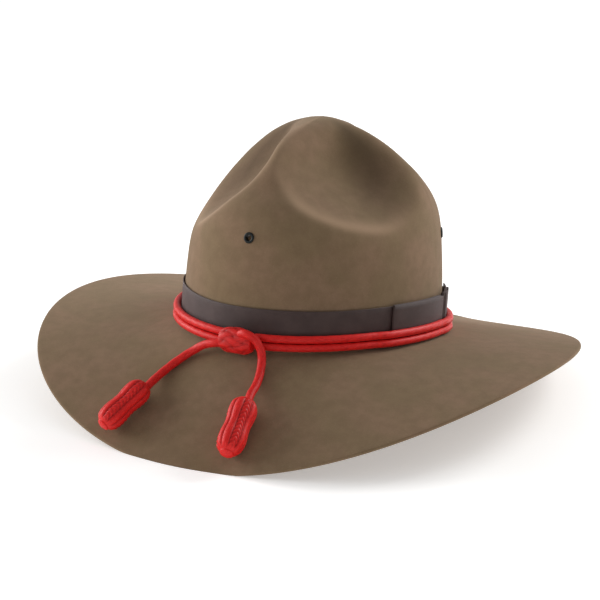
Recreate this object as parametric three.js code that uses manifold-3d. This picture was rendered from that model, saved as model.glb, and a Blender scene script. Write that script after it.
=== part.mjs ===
// Campaign hat: a felt crown with four dents and a drooping brim, a ribbon with a flat bow,
// three ventilation eyelets and a red cord with a slide and two acorns.
// Millimetres, +Z up, the hat's front towards -Y and the wearer's left towards +X.
// The origin is on the floor under the middle of the hat, which stands on the front and back of its brim.
// Angles go round the crown from the front: 0 is the front, 90 the wearer's left, 180 the back.

import * as THREE from "three";
import { mergeVertices } from "three/addons/utils/BufferGeometryUtils.js";
import Module from "manifold-3d";

const wasm = await Module();
wasm.setup();

// Felt cap
const feltThick = 2.5;
const headHalfWidth = 87;
const headHalfLength = 103;
const crownHeight = 145;
const crownTilt = 0.149;
const crownBase = 44.4;
const baseSaddle = 2.65;
const peakSide = -3.3;
const peakForward = 0.8;
const middle = -2.04;

// The ridges of the crown: how far out they stand, as a share of the base oval, at each share of its height
const ridgeRows = [
  { up: 0, front: 1, side: 1 },
  { up: 0.22, front: 0.995, side: 0.988 },
  { up: 0.4, front: 0.985, side: 0.967 },
  { up: 0.52, front: 0.965, side: 0.947 },
  { up: 0.62, front: 0.905, side: 0.913 },
  { up: 0.71, front: 0.8, side: 0.852 },
  { up: 0.8, front: 0.715, side: 0.746 },
  { up: 0.88, front: 0.6, side: 0.578 },
  { up: 0.945, front: 0.41, side: 0.365 },
  { up: 0.985, front: 0.155, side: 0.15 },
  { up: 1, front: 0, side: 0 },
];
const sideRidgeAt = 102;

// The dents, each made on both sides: the ridges that they lie between, the height of the lower border in
// the middle, how much higher it is on the wearer's left and how much it falls there towards the side ridge,
// the height where the border parts from the ridge, and how hollow the face is
const dentRows = [
  { from: 0, to: sideRidgeAt, low: 0.5, slant: 0.045, fall: 0.2, split: 0.85, hollow: 2.25 },
  { from: sideRidgeAt, to: 180, low: 0.6, slant: 0, fall: 0, split: 0.85, hollow: 2.8 },
];
const borderLevel = 0.5;
const ridgeRound = 5.7;
const borderBend = 1.8;
const borderSoft = 0.1;
const splitSoft = 0.1;
const topRound = 25;

// Brim: its width along the felt, and how high its edge rises off the floor at the sides
const brimWidth = { mean: 98.3, foreAft: 4.95, oval: -2.9 };
const brimEdge = { side: 46.7, fore: 5.1, quarter: 1.3, rest: 1.4, blend: 0.6 };
const rimRound = 0.5;

// Rings of the felt sheet: places along the crown's ridge rows from the peak down, then across the brim
const crownPlaces = [0.975, 0.93, 0.87, 0.8, 0.73, 0.66, 0.59, 0.53, 0.47, 0.41, 0.35, 0.28, 0.2, 0.1, 0];
const brimPlaces = [0.04, 0.27, 0.52, 0.77, 1];
const feltSides = 64;

// Ribbon and bow, on the wearer's left
const gap = 0.3;
const ribbonThick = 0.8;
const ribbonHeight = 27.5;
const ribbonFoot = 1.2;
const bandStep = 5.6;
const flareBend = 0.7;
const bowRows = [
  { name: "bow_loop", from: 67.5, to: 104.4, thick: 1.2, rise: 0.8, flare: 0 },
  { name: "bow_keeper", from: 105, to: 110.2, thick: 2.2, rise: 2.4, flare: 0 },
  { name: "bow_tail", from: 110.8, to: 131, thick: 1.2, rise: 1.5, flare: 7 },
];

// Eyelets: a flange on the felt and a barrel through it
const eyelet = {
  flange: 3.8, barrel: 2.65, hole: 1.9, flangeThick: 0.7, seat: 0.45, past: 0.4, round: 0.5, sides: 16,
};
const eyeletRows = [
  { name: "eyelet_front", at: 1.5, up: 0.497 },
  { name: "eyelet_left", at: 117, up: 0.475 },
  { name: "eyelet_right", at: -117, up: 0.475 },
];

// Cord: two turns round the foot of the crown, a slide at the front, two ends with an acorn each. An end
// stops short of its acorn, beside the middle of its neck.
const cordDiameter = 5.3;
const cordSides = 8;
const turnSteps = 72;
const turnRows = [
  { name: "cord_lower", up: 3.7 },
  { name: "cord_upper", up: 9.3 },
];
const slide = {
  at: 2, up: 6.1, out: 8.2, half: 12.5, high: 8.9, deep: 6.4, endHigh: 8.2, endDeep: 5.8, bulge: 0.92, sides: 16,
};
const bowRamp = { from: 9, to: 2 };
const tailDiameter = 5.7;
const tailEnd = 2.2;
const tailRows = [
  {
    name: "cord_tail_right",
    route: [
      [-13.2, -112.3, 60.6], [-18.7, -111.8, 59], [-23.9, -111.6, 56.5], [-28.1, -112.2, 53.6],
      [-31.7, -113.6, 51.2], [-34.6, -116.1, 48.9], [-37.5, -119.4, 46.4], [-40.4, -123.5, 43.6],
      [-42.7, -128, 40.9], [-44.3, -132.8, 38.6], [-45.1, -138, 36.8],
    ],
    enters: [0.2, 0.6, -2.1],
    acorn: { name: "acorn_right", from: [-45.4, -147.5, 36.6], to: [-58.7, -179.6, 16.1], long: 42 },
  },
  {
    name: "cord_tail_left",
    route: [
      [19.9, -110.8, 64.6], [21.9, -111, 61.2], [23, -111.4, 57.4], [23.9, -112.9, 53.6], [25.1, -116.2, 50.1],
      [26.6, -120.7, 46.9], [27.9, -126, 43.9], [29.1, -132.1, 41.7], [30.1, -138.2, 40.1],
    ],
    enters: [0.8, 0, -1.1],
    acorn: { name: "acorn_left", from: [31.5, -145.6, 38.5], to: [37.3, -183.4, 13], long: 45 },
  },
];
const acornSides = 14;
const acornRows = [
  { along: 0, radius: 3.4 },
  { along: 0.05, radius: 6.5 },
  { along: 0.12, radius: 8.2 },
  { along: 0.23, radius: 8.8 },
  { along: 0.43, radius: 8 },
  { along: 0.54, radius: 8.1 },
  { along: 0.7, radius: 8.8 },
  { along: 0.88, radius: 7.4 },
  { along: 0.935, radius: 5.4 },
  { along: 0.95, radius: 4.4 },
  { along: 0.975, radius: 4.2 },
  { along: 1, radius: 3 },
];
const acornRib = 0.5;
const acornRibsOver = 6;

const felt = new THREE.MeshStandardMaterial({ color: 0x7a6650, roughness: 0.95, metalness: 0 });
const grosgrain = new THREE.MeshStandardMaterial({ color: 0x4b3b38, roughness: 0.7, metalness: 0 });
const blackMetal = new THREE.MeshStandardMaterial({ color: 0x15191a, roughness: 0.4, metalness: 0.6 });
const redCord = new THREE.MeshStandardMaterial({ color: 0xc9262b, roughness: 0.6, metalness: 0 });

const radians = THREE.MathUtils.degToRad;
const group = new THREE.Group();

function addMesh(name, geometry, material) {
  const mesh = new THREE.Mesh(geometry, material);
  mesh.name = name;
  group.add(mesh);
  return mesh;
}

// A closed mesh from rings of points that run counterclockwise seen from the last ring's side,
// with a pole or a flat fan at each end; or, for a loop, the last ring joined to the first.
function fromRings(rings, { loop = false, poles = [null, null] } = {}) {
  const sides = rings[0].length;
  const positions = rings.flat().flatMap((p) => [p.x, p.y, p.z]);
  const index = [];
  const last = loop ? rings.length : rings.length - 1;
  for (let i = 0; i < last; i++) {
    const low = i * sides;
    const high = ((i + 1) % rings.length) * sides;
    for (let j = 0; j < sides; j++) {
      const k = (j + 1) % sides;
      index.push(low + j, low + k, high + k, low + j, high + k, high + j);
    }
  }
  if (!loop) {
    [rings[0], rings[rings.length - 1]].forEach((ring, end) => {
      const sum = ring.reduce((total, p) => total.add(p), new THREE.Vector3());
      const centre = poles[end] ?? sum.divideScalar(sides);
      const pole = positions.length / 3;
      positions.push(centre.x, centre.y, centre.z);
      const start = end === 0 ? 0 : (rings.length - 1) * sides;
      for (let j = 0; j < sides; j++) {
        const k = (j + 1) % sides;
        if (end === 0) index.push(pole, start + k, start + j);
        else index.push(pole, start + j, start + k);
      }
    });
  }
  const geometry = new THREE.BufferGeometry();
  geometry.setAttribute("position", new THREE.Float32BufferAttribute(positions, 3));
  geometry.setIndex(index);
  return geometry;
}

// A geometry as a solid that can be cut, and back
function toSolid(geometry) {
  const bare = geometry.clone();
  bare.deleteAttribute("normal");
  bare.deleteAttribute("uv");
  const merged = mergeVertices(bare, 1e-4);
  const vertProperties = new Float32Array(merged.attributes.position.array);
  const triVerts = new Uint32Array(merged.index.array);
  return new wasm.Manifold(new wasm.Mesh({ numProp: 3, vertProperties, triVerts }));
}

function fromSolid(solid) {
  const mesh = solid.getMesh();
  const geometry = new THREE.BufferGeometry();
  geometry.setAttribute("position", new THREE.BufferAttribute(mesh.vertProperties.slice(), 3));
  geometry.setIndex(new THREE.BufferAttribute(mesh.triVerts.slice(), 1));
  return geometry;
}

// A point on the base oval moved outwards by a distance
function oval(angle, out) {
  const x = Math.sin(angle);
  const y = -Math.cos(angle);
  const outward = new THREE.Vector2(x / headHalfWidth, y / headHalfLength).normalize();
  return new THREE.Vector2(headHalfWidth * x, headHalfLength * y).addScaledVector(outward, out);
}

// A place in the crown's own upright frame put into the tilted one
function leanBack(x, y, up, share) {
  const around = Math.atan2(x / headHalfWidth, -y / headHalfLength);
  const saddle = baseSaddle * (1 - share) * Math.cos(2 * around);
  return new THREE.Vector3(x, y + up * crownTilt + middle, crownBase + up - crownTilt * y - saddle);
}

// A point beside the foot of the crown: so far outside the felt, so far up its wall
function besideCrown(angle, out, up) {
  const p = oval(angle, out);
  return leanBack(p.x, p.y, up, 0);
}

const ridgeCurve = new THREE.CatmullRomCurve3(
  ridgeRows.map((row) => new THREE.Vector3(row.up, row.front, row.side)), false, "catmullrom", 0.5,
);

// How far a dent draws the crown in: its hollow face runs from ridge to ridge and comes out of the crown at
// the lower border, both with a soft edge, and fades out at the round peak
function dentDepth(angle, around, up, dent) {
  const [from, to, soft] = [dent.from, dent.to, ridgeRound].map(radians);
  const half = (to - from) / 2;
  const off = Math.min(Math.hypot(around - from, soft), Math.hypot(around - to, soft), half);
  const crest = Math.cos(half - soft);
  const section = (crest / Math.cos(half - off)) ** dent.hollow;
  const left = (1 + Math.sin(angle)) / 2;
  const fall = dent.fall * left * (Math.cos(around) - borderLevel);
  const low = dent.low + dent.slant * Math.sin(angle) + fall;
  const share = (dent.split - up) / (dent.split - low);
  const below = (share + Math.hypot(share, splitSoft)) / 2;
  const face = section * (1 + (crest ** -dent.hollow - 1) * below ** borderBend);
  const drawn = (1 + face - Math.hypot(1 - face, borderSoft)) / 2;
  return (1 - drawn) * (1 - up ** topRound);
}

// The crown's outside: an oval of the ridges' reach, drawn in where the dents are
function crownPoint(angle, place) {
  const ridge = ridgeCurve.getPoint(place);
  const up = THREE.MathUtils.clamp(ridge.x, 0, 1);
  const around = Math.acos(Math.cos(angle));
  const turn = radians(sideRidgeAt - 90) / Math.sin(radians(sideRidgeAt));
  const quarter = around - turn * Math.sin(around);
  const reach = ridge.y * Math.cos(quarter) ** 2 + ridge.z * Math.sin(quarter) ** 2;
  const row = dentRows[around <= radians(sideRidgeAt) ? 0 : 1];
  const out = reach * (1 - dentDepth(angle, around, up, row));
  const shift = up ** 1.5;
  const x = headHalfWidth * Math.sin(angle) * out + peakSide * shift;
  const y = -headHalfLength * Math.cos(angle) * out - peakForward * shift;
  return leanBack(x, y, up * crownHeight, up);
}

// The brim's edge, which droops to the floor at the front and back and lifts at the sides
function edgePoint(angle) {
  const { side, fore, quarter, rest, blend } = brimEdge;
  const rise = (side * (1 - Math.cos(2 * angle))) / 2 + (fore * (Math.cos(angle) - Math.cos(3 * angle))) / 2
    + (quarter * (1 - Math.cos(4 * angle))) / 2 - rest;
  const height = (rise + Math.sqrt(rise * rise + blend)) / 2;
  const foot = besideCrown(angle, 0, 0);
  const width = brimWidth.mean + brimWidth.foreAft * Math.cos(angle) + brimWidth.oval * Math.cos(2 * angle);
  const p = oval(angle, Math.sqrt(width ** 2 - (foot.z - height) ** 2));
  return new THREE.Vector3(p.x, p.y + middle, height);
}

function brimPoint(angle, place) {
  return besideCrown(angle, 0, 0).lerp(edgePoint(angle), place);
}

// The felt: the outside sheet, and the inside one a wall's thickness behind it
function feltSheet() {
  const angles = Array.from({ length: feltSides }, (_, j) => (2 * Math.PI * j) / feltSides);
  const outer = [
    ...crownPlaces.map((place) => angles.map((angle) => crownPoint(angle, place))),
    ...brimPlaces.map((place) => angles.map((angle) => brimPoint(angle, place))),
  ];
  const peak = crownPoint(0, 1);
  const normals = outer.map((ring, i) => ring.map((p, j) => {
    const before = outer[i - 1] ? outer[i - 1][j] : peak;
    const after = outer[i + 1] ? outer[i + 1][j] : p;
    const down = after.clone().sub(before);
    const along = ring[(j + 1) % feltSides].clone().sub(ring[(j + feltSides - 1) % feltSides]);
    return down.cross(along).normalize();
  }));
  const inner = outer.map((ring, i) => (
    ring.map((p, j) => p.clone().addScaledVector(normals[i][j], -feltThick))
  ));
  const rim = outer[outer.length - 1].map((p, j) => {
    const outward = new THREE.Vector3(p.x, p.y - middle, 0).normalize();
    return p.clone().lerp(inner[inner.length - 1][j], 0.5).addScaledVector(outward, rimRound);
  });
  const rings = [...outer, rim, ...inner.reverse()];
  rings.forEach((ring) => ring.forEach((p) => { p.z = Math.max(p.z, 0); }));
  const under = peak.clone();
  under.z -= feltThick;
  return fromRings(rings.map((ring) => ring.slice().reverse()), { poles: [peak, under] });
}

// A stretch of the band round the crown, or all of it: a strip with its own thickness
function bandStrip({ from, to, lift, thick, foot, top, flare = 0, whole = false }) {
  const steps = whole ? feltSides : Math.max(3, Math.round((to - from) / bandStep));
  const count = whole ? steps : steps + 1;
  const rings = Array.from({ length: count }, (_, i) => {
    const share = i / steps;
    const angle = radians(from + (to - from) * share);
    const high = top + flare * share ** flareBend;
    return [[lift, foot], [lift, high], [lift + thick, high], [lift + thick, foot]]
      .map(([out, up]) => besideCrown(angle, out, up));
  });
  return fromRings(rings, { loop: whole });
}

// How far the cord stands off the crown to pass over the bow
function overBow(angle) {
  const degrees = THREE.MathUtils.radToDeg(angle);
  return bowRows.reduce((most, row) => {
    const inside = THREE.MathUtils.smoothstep(degrees, row.from - bowRamp.from, row.from - bowRamp.to)
      * (1 - THREE.MathUtils.smoothstep(degrees, row.to + bowRamp.to, row.to + bowRamp.from));
    return Math.max(most, row.thick * inside + gap * Math.min(inside * 4, 1));
  }, 0);
}

// A round cord along points, its sides turned as little as they can be from one to the next
function roundCord(points, diameter, sides) {
  const curve = new THREE.CatmullRomCurve3(points, false, "centripetal");
  const section = new THREE.Shape();
  section.absarc(0, 0, diameter / 2, 0, 2 * Math.PI);
  return new THREE.ExtrudeGeometry(section, {
    steps: points.length * 2, curveSegments: sides / 2, extrudePath: curve, bevelEnabled: false,
  });
}

// One turn of the cord round the crown, from one end of the slide to the other
function cordTurn(up) {
  const clear = Math.asin((slide.half + gap) / headHalfWidth);
  const start = radians(slide.at) + clear;
  const sweep = 2 * Math.PI - 2 * clear;
  const rest = gap + ribbonThick + gap + cordDiameter / 2;
  const rings = Array.from({ length: turnSteps + 1 }, (_, i) => {
    const angle = start + (sweep * i) / turnSteps;
    return Array.from({ length: cordSides }, (_, j) => {
      const turn = (2 * Math.PI * j) / cordSides;
      const out = rest + overBow(angle) + (cordDiameter / 2) * Math.cos(turn);
      return besideCrown(angle, out, up + (cordDiameter / 2) * Math.sin(turn));
    });
  });
  return fromRings(rings.map((ring) => ring.reverse()));
}

// The slide: a barrel lying across the front, with flat ends that the cord goes into
function slideBarrel() {
  const stations = [-1, -0.8, -0.45, 0, 0.45, 0.8, 1];
  const at = radians(slide.at);
  const centre = besideCrown(at, slide.out, slide.up);
  const side = new THREE.Vector3(Math.cos(at), Math.sin(at), 0);
  const front = new THREE.Vector3(Math.sin(at), -Math.cos(at), crownTilt);
  const top = new THREE.Vector3(0, crownTilt, 1);
  const rings = stations.map((share) => {
    const full = Math.sqrt(1 - (share * slide.bulge) ** 2);
    const end = Math.sqrt(1 - slide.bulge ** 2);
    const swell = (full - end) / (1 - end);
    const high = slide.endHigh + (slide.high - slide.endHigh) * swell;
    const deep = slide.endDeep + (slide.deep - slide.endDeep) * swell;
    return Array.from({ length: slide.sides }, (_, j) => {
      const turn = (2 * Math.PI * j) / slide.sides;
      return centre.clone()
        .addScaledVector(side, share * slide.half)
        .addScaledVector(front, deep * Math.cos(turn))
        .addScaledVector(top, high * Math.sin(turn));
    });
  });
  return fromRings(rings.map((ring) => ring.reverse()));
}

// An acorn: two wrapped swells with a waist, ribbed lengthwise, and a small button at its end
function acornAlong(neck, to, long) {
  const axis = to.clone().sub(neck).normalize();
  const across = axis.clone().cross(new THREE.Vector3(0, 0, 1)).normalize();
  const rise = across.clone().cross(axis);
  const rings = acornRows.map((row) => Array.from({ length: acornSides }, (_, j) => {
    const turn = (2 * Math.PI * j) / acornSides;
    const radius = row.radius + (row.radius > acornRibsOver ? acornRib * (j % 2 === 0 ? 1 : -1) : 0);
    return neck.clone()
      .addScaledVector(axis, long * row.along)
      .addScaledVector(across, radius * Math.cos(turn))
      .addScaledVector(rise, radius * Math.sin(turn));
  }));
  return fromRings(rings.map((ring) => ring.reverse()));
}

// The place along the ridge rows where the crown reaches a share of its height
function placeAt(up) {
  let low = 0;
  let high = 1;
  while (high - low > 1e-6) {
    const half = (low + high) / 2;
    if (ridgeCurve.getPoint(half).x < up) low = half;
    else high = half;
  }
  return low;
}

// Where an eyelet sits: a frame on the felt with its axis pointing out of it
function eyeletFrame({ at, up }) {
  const angle = radians(at);
  const place = placeAt(up);
  const point = crownPoint(angle, place);
  const along = crownPoint(angle + 0.02, place).sub(crownPoint(angle - 0.02, place));
  const rise = crownPoint(angle, place + 0.01).sub(crownPoint(angle, place - 0.01));
  const out = along.clone().cross(rise).normalize();
  const turn = new THREE.Quaternion().setFromUnitVectors(new THREE.Vector3(0, 1, 0), out);
  return new THREE.Matrix4().compose(point, turn, new THREE.Vector3(1, 1, 1));
}

function eyeletGeometry() {
  const { flange, barrel, hole, flangeThick, seat, past, round, sides } = eyelet;
  const inner = -feltThick - past;
  const face = seat + flangeThick;
  const shoulder = seat + flangeThick / 2;
  const profile = [
    [hole, inner], [barrel, inner], [barrel, seat], [flange, seat], [flange, shoulder],
    [flange - round, face], [hole + round, face], [hole, shoulder], [hole, inner],
  ];
  return new THREE.LatheGeometry(profile.map(([radius, along]) => new THREE.Vector2(radius, along)), sides);
}

let feltSolid = toSolid(feltSheet());
for (const row of eyeletRows) {
  const frame = eyeletFrame(row);
  const bore = new THREE.CylinderGeometry(eyelet.barrel + gap, eyelet.barrel + gap, 12, eyelet.sides);
  feltSolid = feltSolid.subtract(toSolid(bore.applyMatrix4(frame)));
  const mesh = addMesh(row.name, eyeletGeometry(), blackMetal);
  frame.decompose(mesh.position, mesh.quaternion, mesh.scale);
}
addMesh("felt_body", fromSolid(feltSolid), felt);

addMesh("ribbon", bandStrip({
  from: 0, to: 360, lift: gap, thick: ribbonThick, foot: ribbonFoot, top: ribbonHeight, whole: true,
}), grosgrain);
for (const { name, from, to, thick, rise, flare } of bowRows) {
  const lift = gap + ribbonThick + gap;
  addMesh(name, bandStrip({
    from, to, lift, thick, foot: ribbonFoot, top: ribbonHeight + rise, flare,
  }), grosgrain);
}

for (const { name, up } of turnRows) addMesh(name, cordTurn(up), redCord);
addMesh("cord_slide", slideBarrel(), redCord);
for (const { name, route, enters, acorn } of tailRows) {
  const places = [acorn.from, acorn.to, ...route];
  const [from, to, ...points] = places.map(([x, y, z]) => new THREE.Vector3(x, y + middle, z));
  const back = from.clone().sub(to).normalize();
  const end = from.clone().add(new THREE.Vector3(...enters)).addScaledVector(back, tailEnd);
  addMesh(name, roundCord([...points, end], tailDiameter, cordSides), redCord);
  addMesh(acorn.name, acornAlong(from, to, acorn.long), redCord);
}

export default group;
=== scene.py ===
# A felt campaign hat standing on a pale floor: a crown with four dents, a wide drooping brim, a dark
# ribbon with a flat bow, three vent eyelets, and a red cord with a slide and two acorns.
# Sizes are in millimetres until a mesh is made. +Z is up, the front is towards -Y, and the wearer's left
# is towards +X. Angles go round the crown from the front: 0 is the front, 90 the wearer's left.

import bpy
import numpy as np
from mathutils import Matrix


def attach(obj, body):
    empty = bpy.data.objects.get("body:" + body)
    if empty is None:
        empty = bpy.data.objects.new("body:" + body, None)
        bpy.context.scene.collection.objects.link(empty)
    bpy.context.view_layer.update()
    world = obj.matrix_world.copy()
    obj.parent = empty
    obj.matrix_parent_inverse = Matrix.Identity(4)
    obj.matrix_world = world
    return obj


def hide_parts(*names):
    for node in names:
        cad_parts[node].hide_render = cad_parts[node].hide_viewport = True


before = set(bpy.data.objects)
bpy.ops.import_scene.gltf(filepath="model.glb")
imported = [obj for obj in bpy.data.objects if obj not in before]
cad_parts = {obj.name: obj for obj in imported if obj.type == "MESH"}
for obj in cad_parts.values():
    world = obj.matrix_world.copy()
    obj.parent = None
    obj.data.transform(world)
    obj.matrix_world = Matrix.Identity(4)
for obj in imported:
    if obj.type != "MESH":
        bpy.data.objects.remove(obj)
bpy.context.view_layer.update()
mm = 0.001
middle = -2.04  # the crown's middle along Y, a little in front of the origin
fineSteps = 4001  # places at which a curve is read to look one of them up


# Vectors brought to length 1.
def unit(v):
    return v / np.linalg.norm(v, axis=-1, keepdims=True)


# A smooth step from 0 at low to 1 at high.
def smooth(x, low, high):
    s = np.clip((x - low) / (high - low), 0, 1)
    return s * s * (3 - 2 * s)


# Points in millimetres, measured from the crown's middle, as places in metres.
def metres(points):
    return (np.asarray(points) + [0, middle, 0]) * mm


# The matrix that puts a thing at a place with its own axes, in metres.
def placed(right, up, back, place):
    return Matrix([[float(v[i]) for v in (right, up, back, place)] for i in range(3)] + [[0, 0, 0, 1]])


# Camera: its angles round and above the hat, its distance from the point it looks at, how far that point
# lies from the crown's middle along the image's own right and up, its lens and sensor, and how many metres
# it sees.
camera = {"around": 29.14, "above": 17.73, "away": 1801, "right": -8.77, "up": 58.59, "lens": 152.15,
          "sensor": 36, "sees": 20}


def makeCamera():
    a, e = np.radians(camera["around"]), np.radians(camera["above"])
    back = np.array([np.sin(a) * np.cos(e), -np.cos(a) * np.cos(e), np.sin(e)])
    right = np.array([np.cos(a), np.sin(a), 0])
    up = np.cross(back, right)
    place = right * camera["right"] + up * camera["up"] + back * camera["away"]
    data = bpy.data.cameras.new("camera")
    data.lens = camera["lens"]
    data.sensor_width = camera["sensor"]
    data.clip_end = camera["sees"]
    eye = bpy.data.objects.new("camera", data)
    eye.matrix_world = placed(right, up, back, metres(place))
    bpy.context.collection.objects.link(eye)
    bpy.context.scene.camera = eye


makeCamera()


# Colours are given as the screen shows them and turned into the renderer's linear values.
def linear(code):
    c = np.array([int(code[i:i + 2], 16) for i in (1, 3, 5)]) / 255
    return [*np.where(c <= 0.04045, c / 12.92, ((c + 0.055) / 1.055) ** 2.4).tolist(), 1.0]


# One mesh from a grid of points whose columns go round. Its rows end at two poles, or go round too where
# there are none. The chart is its map, in millimetres, with one row or column more where the grid goes round.
def skin(name, grid, material, poles=(), chart=None):
    rows, cols = grid.shape[:2]
    spans = rows - 1 if len(poles) else rows
    i, j = (a.ravel() for a in np.meshgrid(np.arange(spans), np.arange(cols), indexing="ij"))
    i1, j1 = (i + 1) % rows, (j + 1) % cols
    faces = np.stack([i * cols + j, i * cols + j1, i1 * cols + j1, i1 * cols + j], -1).tolist()
    points = metres(grid.reshape(-1, 3))
    mapped = []
    if chart is not None:
        corners = [chart[i, j], chart[i, j + 1], chart[i + 1, j + 1], chart[i + 1, j]]
        mapped.append(np.stack(corners, 1).reshape(-1, 2))
    for end, pole in enumerate(poles):
        row = end * (rows - 1)
        ring = np.arange(cols) + row * cols
        after = np.roll(ring, -1)
        tip = np.full(cols, len(points))
        points = np.vstack([points, metres(pole)])
        faces += np.stack([tip, after, ring] if end == 0 else [tip, ring, after], -1).tolist()
        if chart is not None:
            first, second = chart[row, :cols], chart[row, 1:cols + 1]
            corners = [first, second, first] if end == 0 else [first, first, second]
            mapped.append(np.stack(corners, 1).reshape(-1, 2))
    mesh = bpy.data.meshes.new(name)
    mesh.from_pydata(points.tolist(), [], faces)
    if chart is not None:
        mesh.uv_layers.new(name="chart").data.foreach_set("uv", np.concatenate(mapped).ravel())
    mesh.polygons.foreach_set("use_smooth", [True] * len(mesh.polygons))
    mesh.materials.append(material)
    piece = bpy.data.objects.new(name, mesh)
    bpy.context.collection.objects.link(piece)
    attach(piece, "root")
    return piece


# A share for each point of the grid, kept on the piece for its material.
def mark(piece, name, share):
    values = np.zeros(len(piece.data.vertices))
    values[:share.size] = share.ravel()
    piece.data.attributes.new(name, "FLOAT", "POINT").data.foreach_set("value", values)


# The inputs of a node, each a value or the output of another node.
def setInputs(tree, made, inputs):
    for key, value in inputs.items():
        if isinstance(value, bpy.types.NodeSocket):
            tree.links.new(value, made.inputs[key])
        else:
            made.inputs[key].default_value = value


# Node trees are made with one call for each node: its kind, its inputs, which output is wanted, and its
# plain settings.
def node(tree, kind, inputs=(), output=0, **settings):
    made = tree.nodes.new("ShaderNode" + kind)
    for key, value in settings.items():
        setattr(made, key, value)
    setInputs(tree, made, dict(inputs))
    return made.outputs[output]


def newMaterial(name):
    material = bpy.data.materials.new(name)
    material.use_nodes = True
    tree = material.node_tree
    return material, tree, tree.nodes["Principled BSDF"]


# Colours laid over a first one: each goes from nothing to its most as its pattern rises from low to high.
def layered(tree, tone, layers):
    for pattern, low, high, most, colour in layers:
        share = node(tree, "MapRange", {"Value": pattern, "From Min": low, "From Max": high, "To Max": most},
                     interpolation_type="SMOOTHSTEP")
        tone = node(tree, "Mix", {0: share, 6: tone, 7: linear(colour)}, output=2, data_type="RGBA")
    return tone


# Painted light on the felt: a painted highlight along the dents' lower folds, and painted shade on the dents'
# far flanks. Given are each mark's strength and colour, the fold's width as a share of the reach, the heights
# and angles between which each mark comes and goes, how faint the fold is at the front, and the dent's depth
# at which the shade is full.
paintedFeltLight = {
    "marks": [("paintedFoldHighlight", 0.5, "#b3957a"), ("paintedFlankShade", 0.62, "#3f3021")],
    "fold": 0.075, "foldsAbove": (0.42, 0.5), "foldStarts": (8, 26), "foldEnds": (58, 92), "foldFaint": 0.4,
    "flank": (48, 84), "deep": 0.3,
}


# Wool felt, fulled and blocked: matt, a little paler where the nap catches light, faintly mottled from the
# dyed fibres, with a fine leathery grain and short upright hairs. The hairs are drawn coarser than real
# ones, so that they show.
def makeFelt():
    material, tree, shader = newMaterial("wool_felt_blocked")
    place = node(tree, "TexCoord", output="Object")
    upright = node(tree, "Mapping", {"Vector": place, "Scale": (1, 1, 0.22)})
    broad, cloud, fleck, hair = (
        node(tree, "TexNoise", {"Vector": where, "Scale": 1 / (size * mm), "Detail": detail,
                                "Roughness": rough})
        for where, size, detail, rough in (
            (place, 38, 3, 0.5), (place, 9, 4, 0.6), (place, 0.9, 5, 0.7), (upright, 0.42, 4, 0.7))
    )
    tone = layered(tree, linear("#7b674e"), [
        (broad, 0.35, 0.65, 1, "#846b55"), (cloud, 0.3, 0.72, 0.5, "#6f5b45"),
        (fleck, 0.5, 0.78, 0.35, "#9a8368"), (hair, 0.56, 0.75, 0.3, "#54442f"),
    ])
    # Painted highlight and painted shade laid over the felt's colour, by the shares kept on the felt.
    for name, strength, colour in paintedFeltLight["marks"]:
        marked = node(tree, "Attribute", output="Fac", attribute_name=name)
        share = node(tree, "Math", {0: marked, 1: strength}, operation="MULTIPLY")
        tone = node(tree, "Mix", {0: share, 6: tone, 7: linear(colour)}, output=2, data_type="RGBA")
    parts = [node(tree, "Math", {0: height, 1: share}, operation="MULTIPLY")
             for height, share in ((fleck, 0.6), (hair, 0.4))]
    grain = node(tree, "Math", {0: parts[0], 1: parts[1]}, operation="ADD")
    fine = node(tree, "Bump", {"Height": grain, "Strength": 0.35, "Distance": 0.25 * mm})
    setInputs(tree, shader, {
        "Base Color": tone, "Roughness": 0.93, "Specular IOR Level": 0.18, "Sheen Weight": 0.22,
        "Sheen Roughness": 0.45, "Sheen Tint": linear("#e6d3bd"),
        "Normal": node(tree, "Bump", {"Height": cloud, "Strength": 0.3, "Distance": 0.5 * mm,
                                      "Normal": fine}),
    })
    return material


feltMaterial = makeFelt()


# The oval of the head and how the crown stands on it: the height of its foot, its lean back and its saddle.
head = {"wide": 87, "long": 103, "base": 44.4, "lean": 0.149, "saddle": 2.65}

# The crown's ridges: how far out they stand, as a share of the head's oval, at each share of the height.
# Each dent lies between two ridges and has the height of its lower border in the middle, how much higher that
# is on the wearer's left, how much it falls there past the level angle, the height where the border parts
# from the ridge, and how hollow its face is.
sideRidge = 102
crown = {
    "height": 145, "peakSide": -3.3, "peakForward": 0.8, "peakDraw": 1.5,
    "up": [0, 0.22, 0.4, 0.52, 0.62, 0.71, 0.8, 0.88, 0.945, 0.985, 1],
    "front": [1, 0.995, 0.985, 0.965, 0.905, 0.8, 0.715, 0.6, 0.41, 0.155, 0],
    "side": [1, 0.988, 0.967, 0.947, 0.913, 0.852, 0.746, 0.578, 0.365, 0.15, 0],
    "dents": [
        {"from": 0, "to": sideRidge, "low": 0.5, "slant": 0.045, "fall": 0.2, "split": 0.85, "hollow": 2.25},
        {"from": sideRidge, "to": 180, "low": 0.6, "slant": 0, "fall": 0, "split": 0.85, "hollow": 2.8},
    ],
    "ridgeRound": 5.7, "borderBend": 1.8, "borderSoft": 0.1, "splitSoft": 0.1, "topRound": 25,
    "level": 0.5,  # the cosine of the level angle
}

# The brim: its mean width and how that varies round it, and how high its edge stands at the sides, fore and
# aft and between, less what lies flat on the floor, with a soft change to it.
brim = {"mean": 98.3, "foreAft": 4.95, "oval": -2.9, "side": 46.7, "fore": 5.1, "quarter": 1.3, "rest": 1.4,
        "blend": 0.6}

# The felt's thickness and how finely it's drawn. The inside has every second row.
felt = {"thick": 2.5, "around": 320, "crownRows": 112, "brimRows": 48, "edgeRows": 7, "insideStep": 2}


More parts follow.
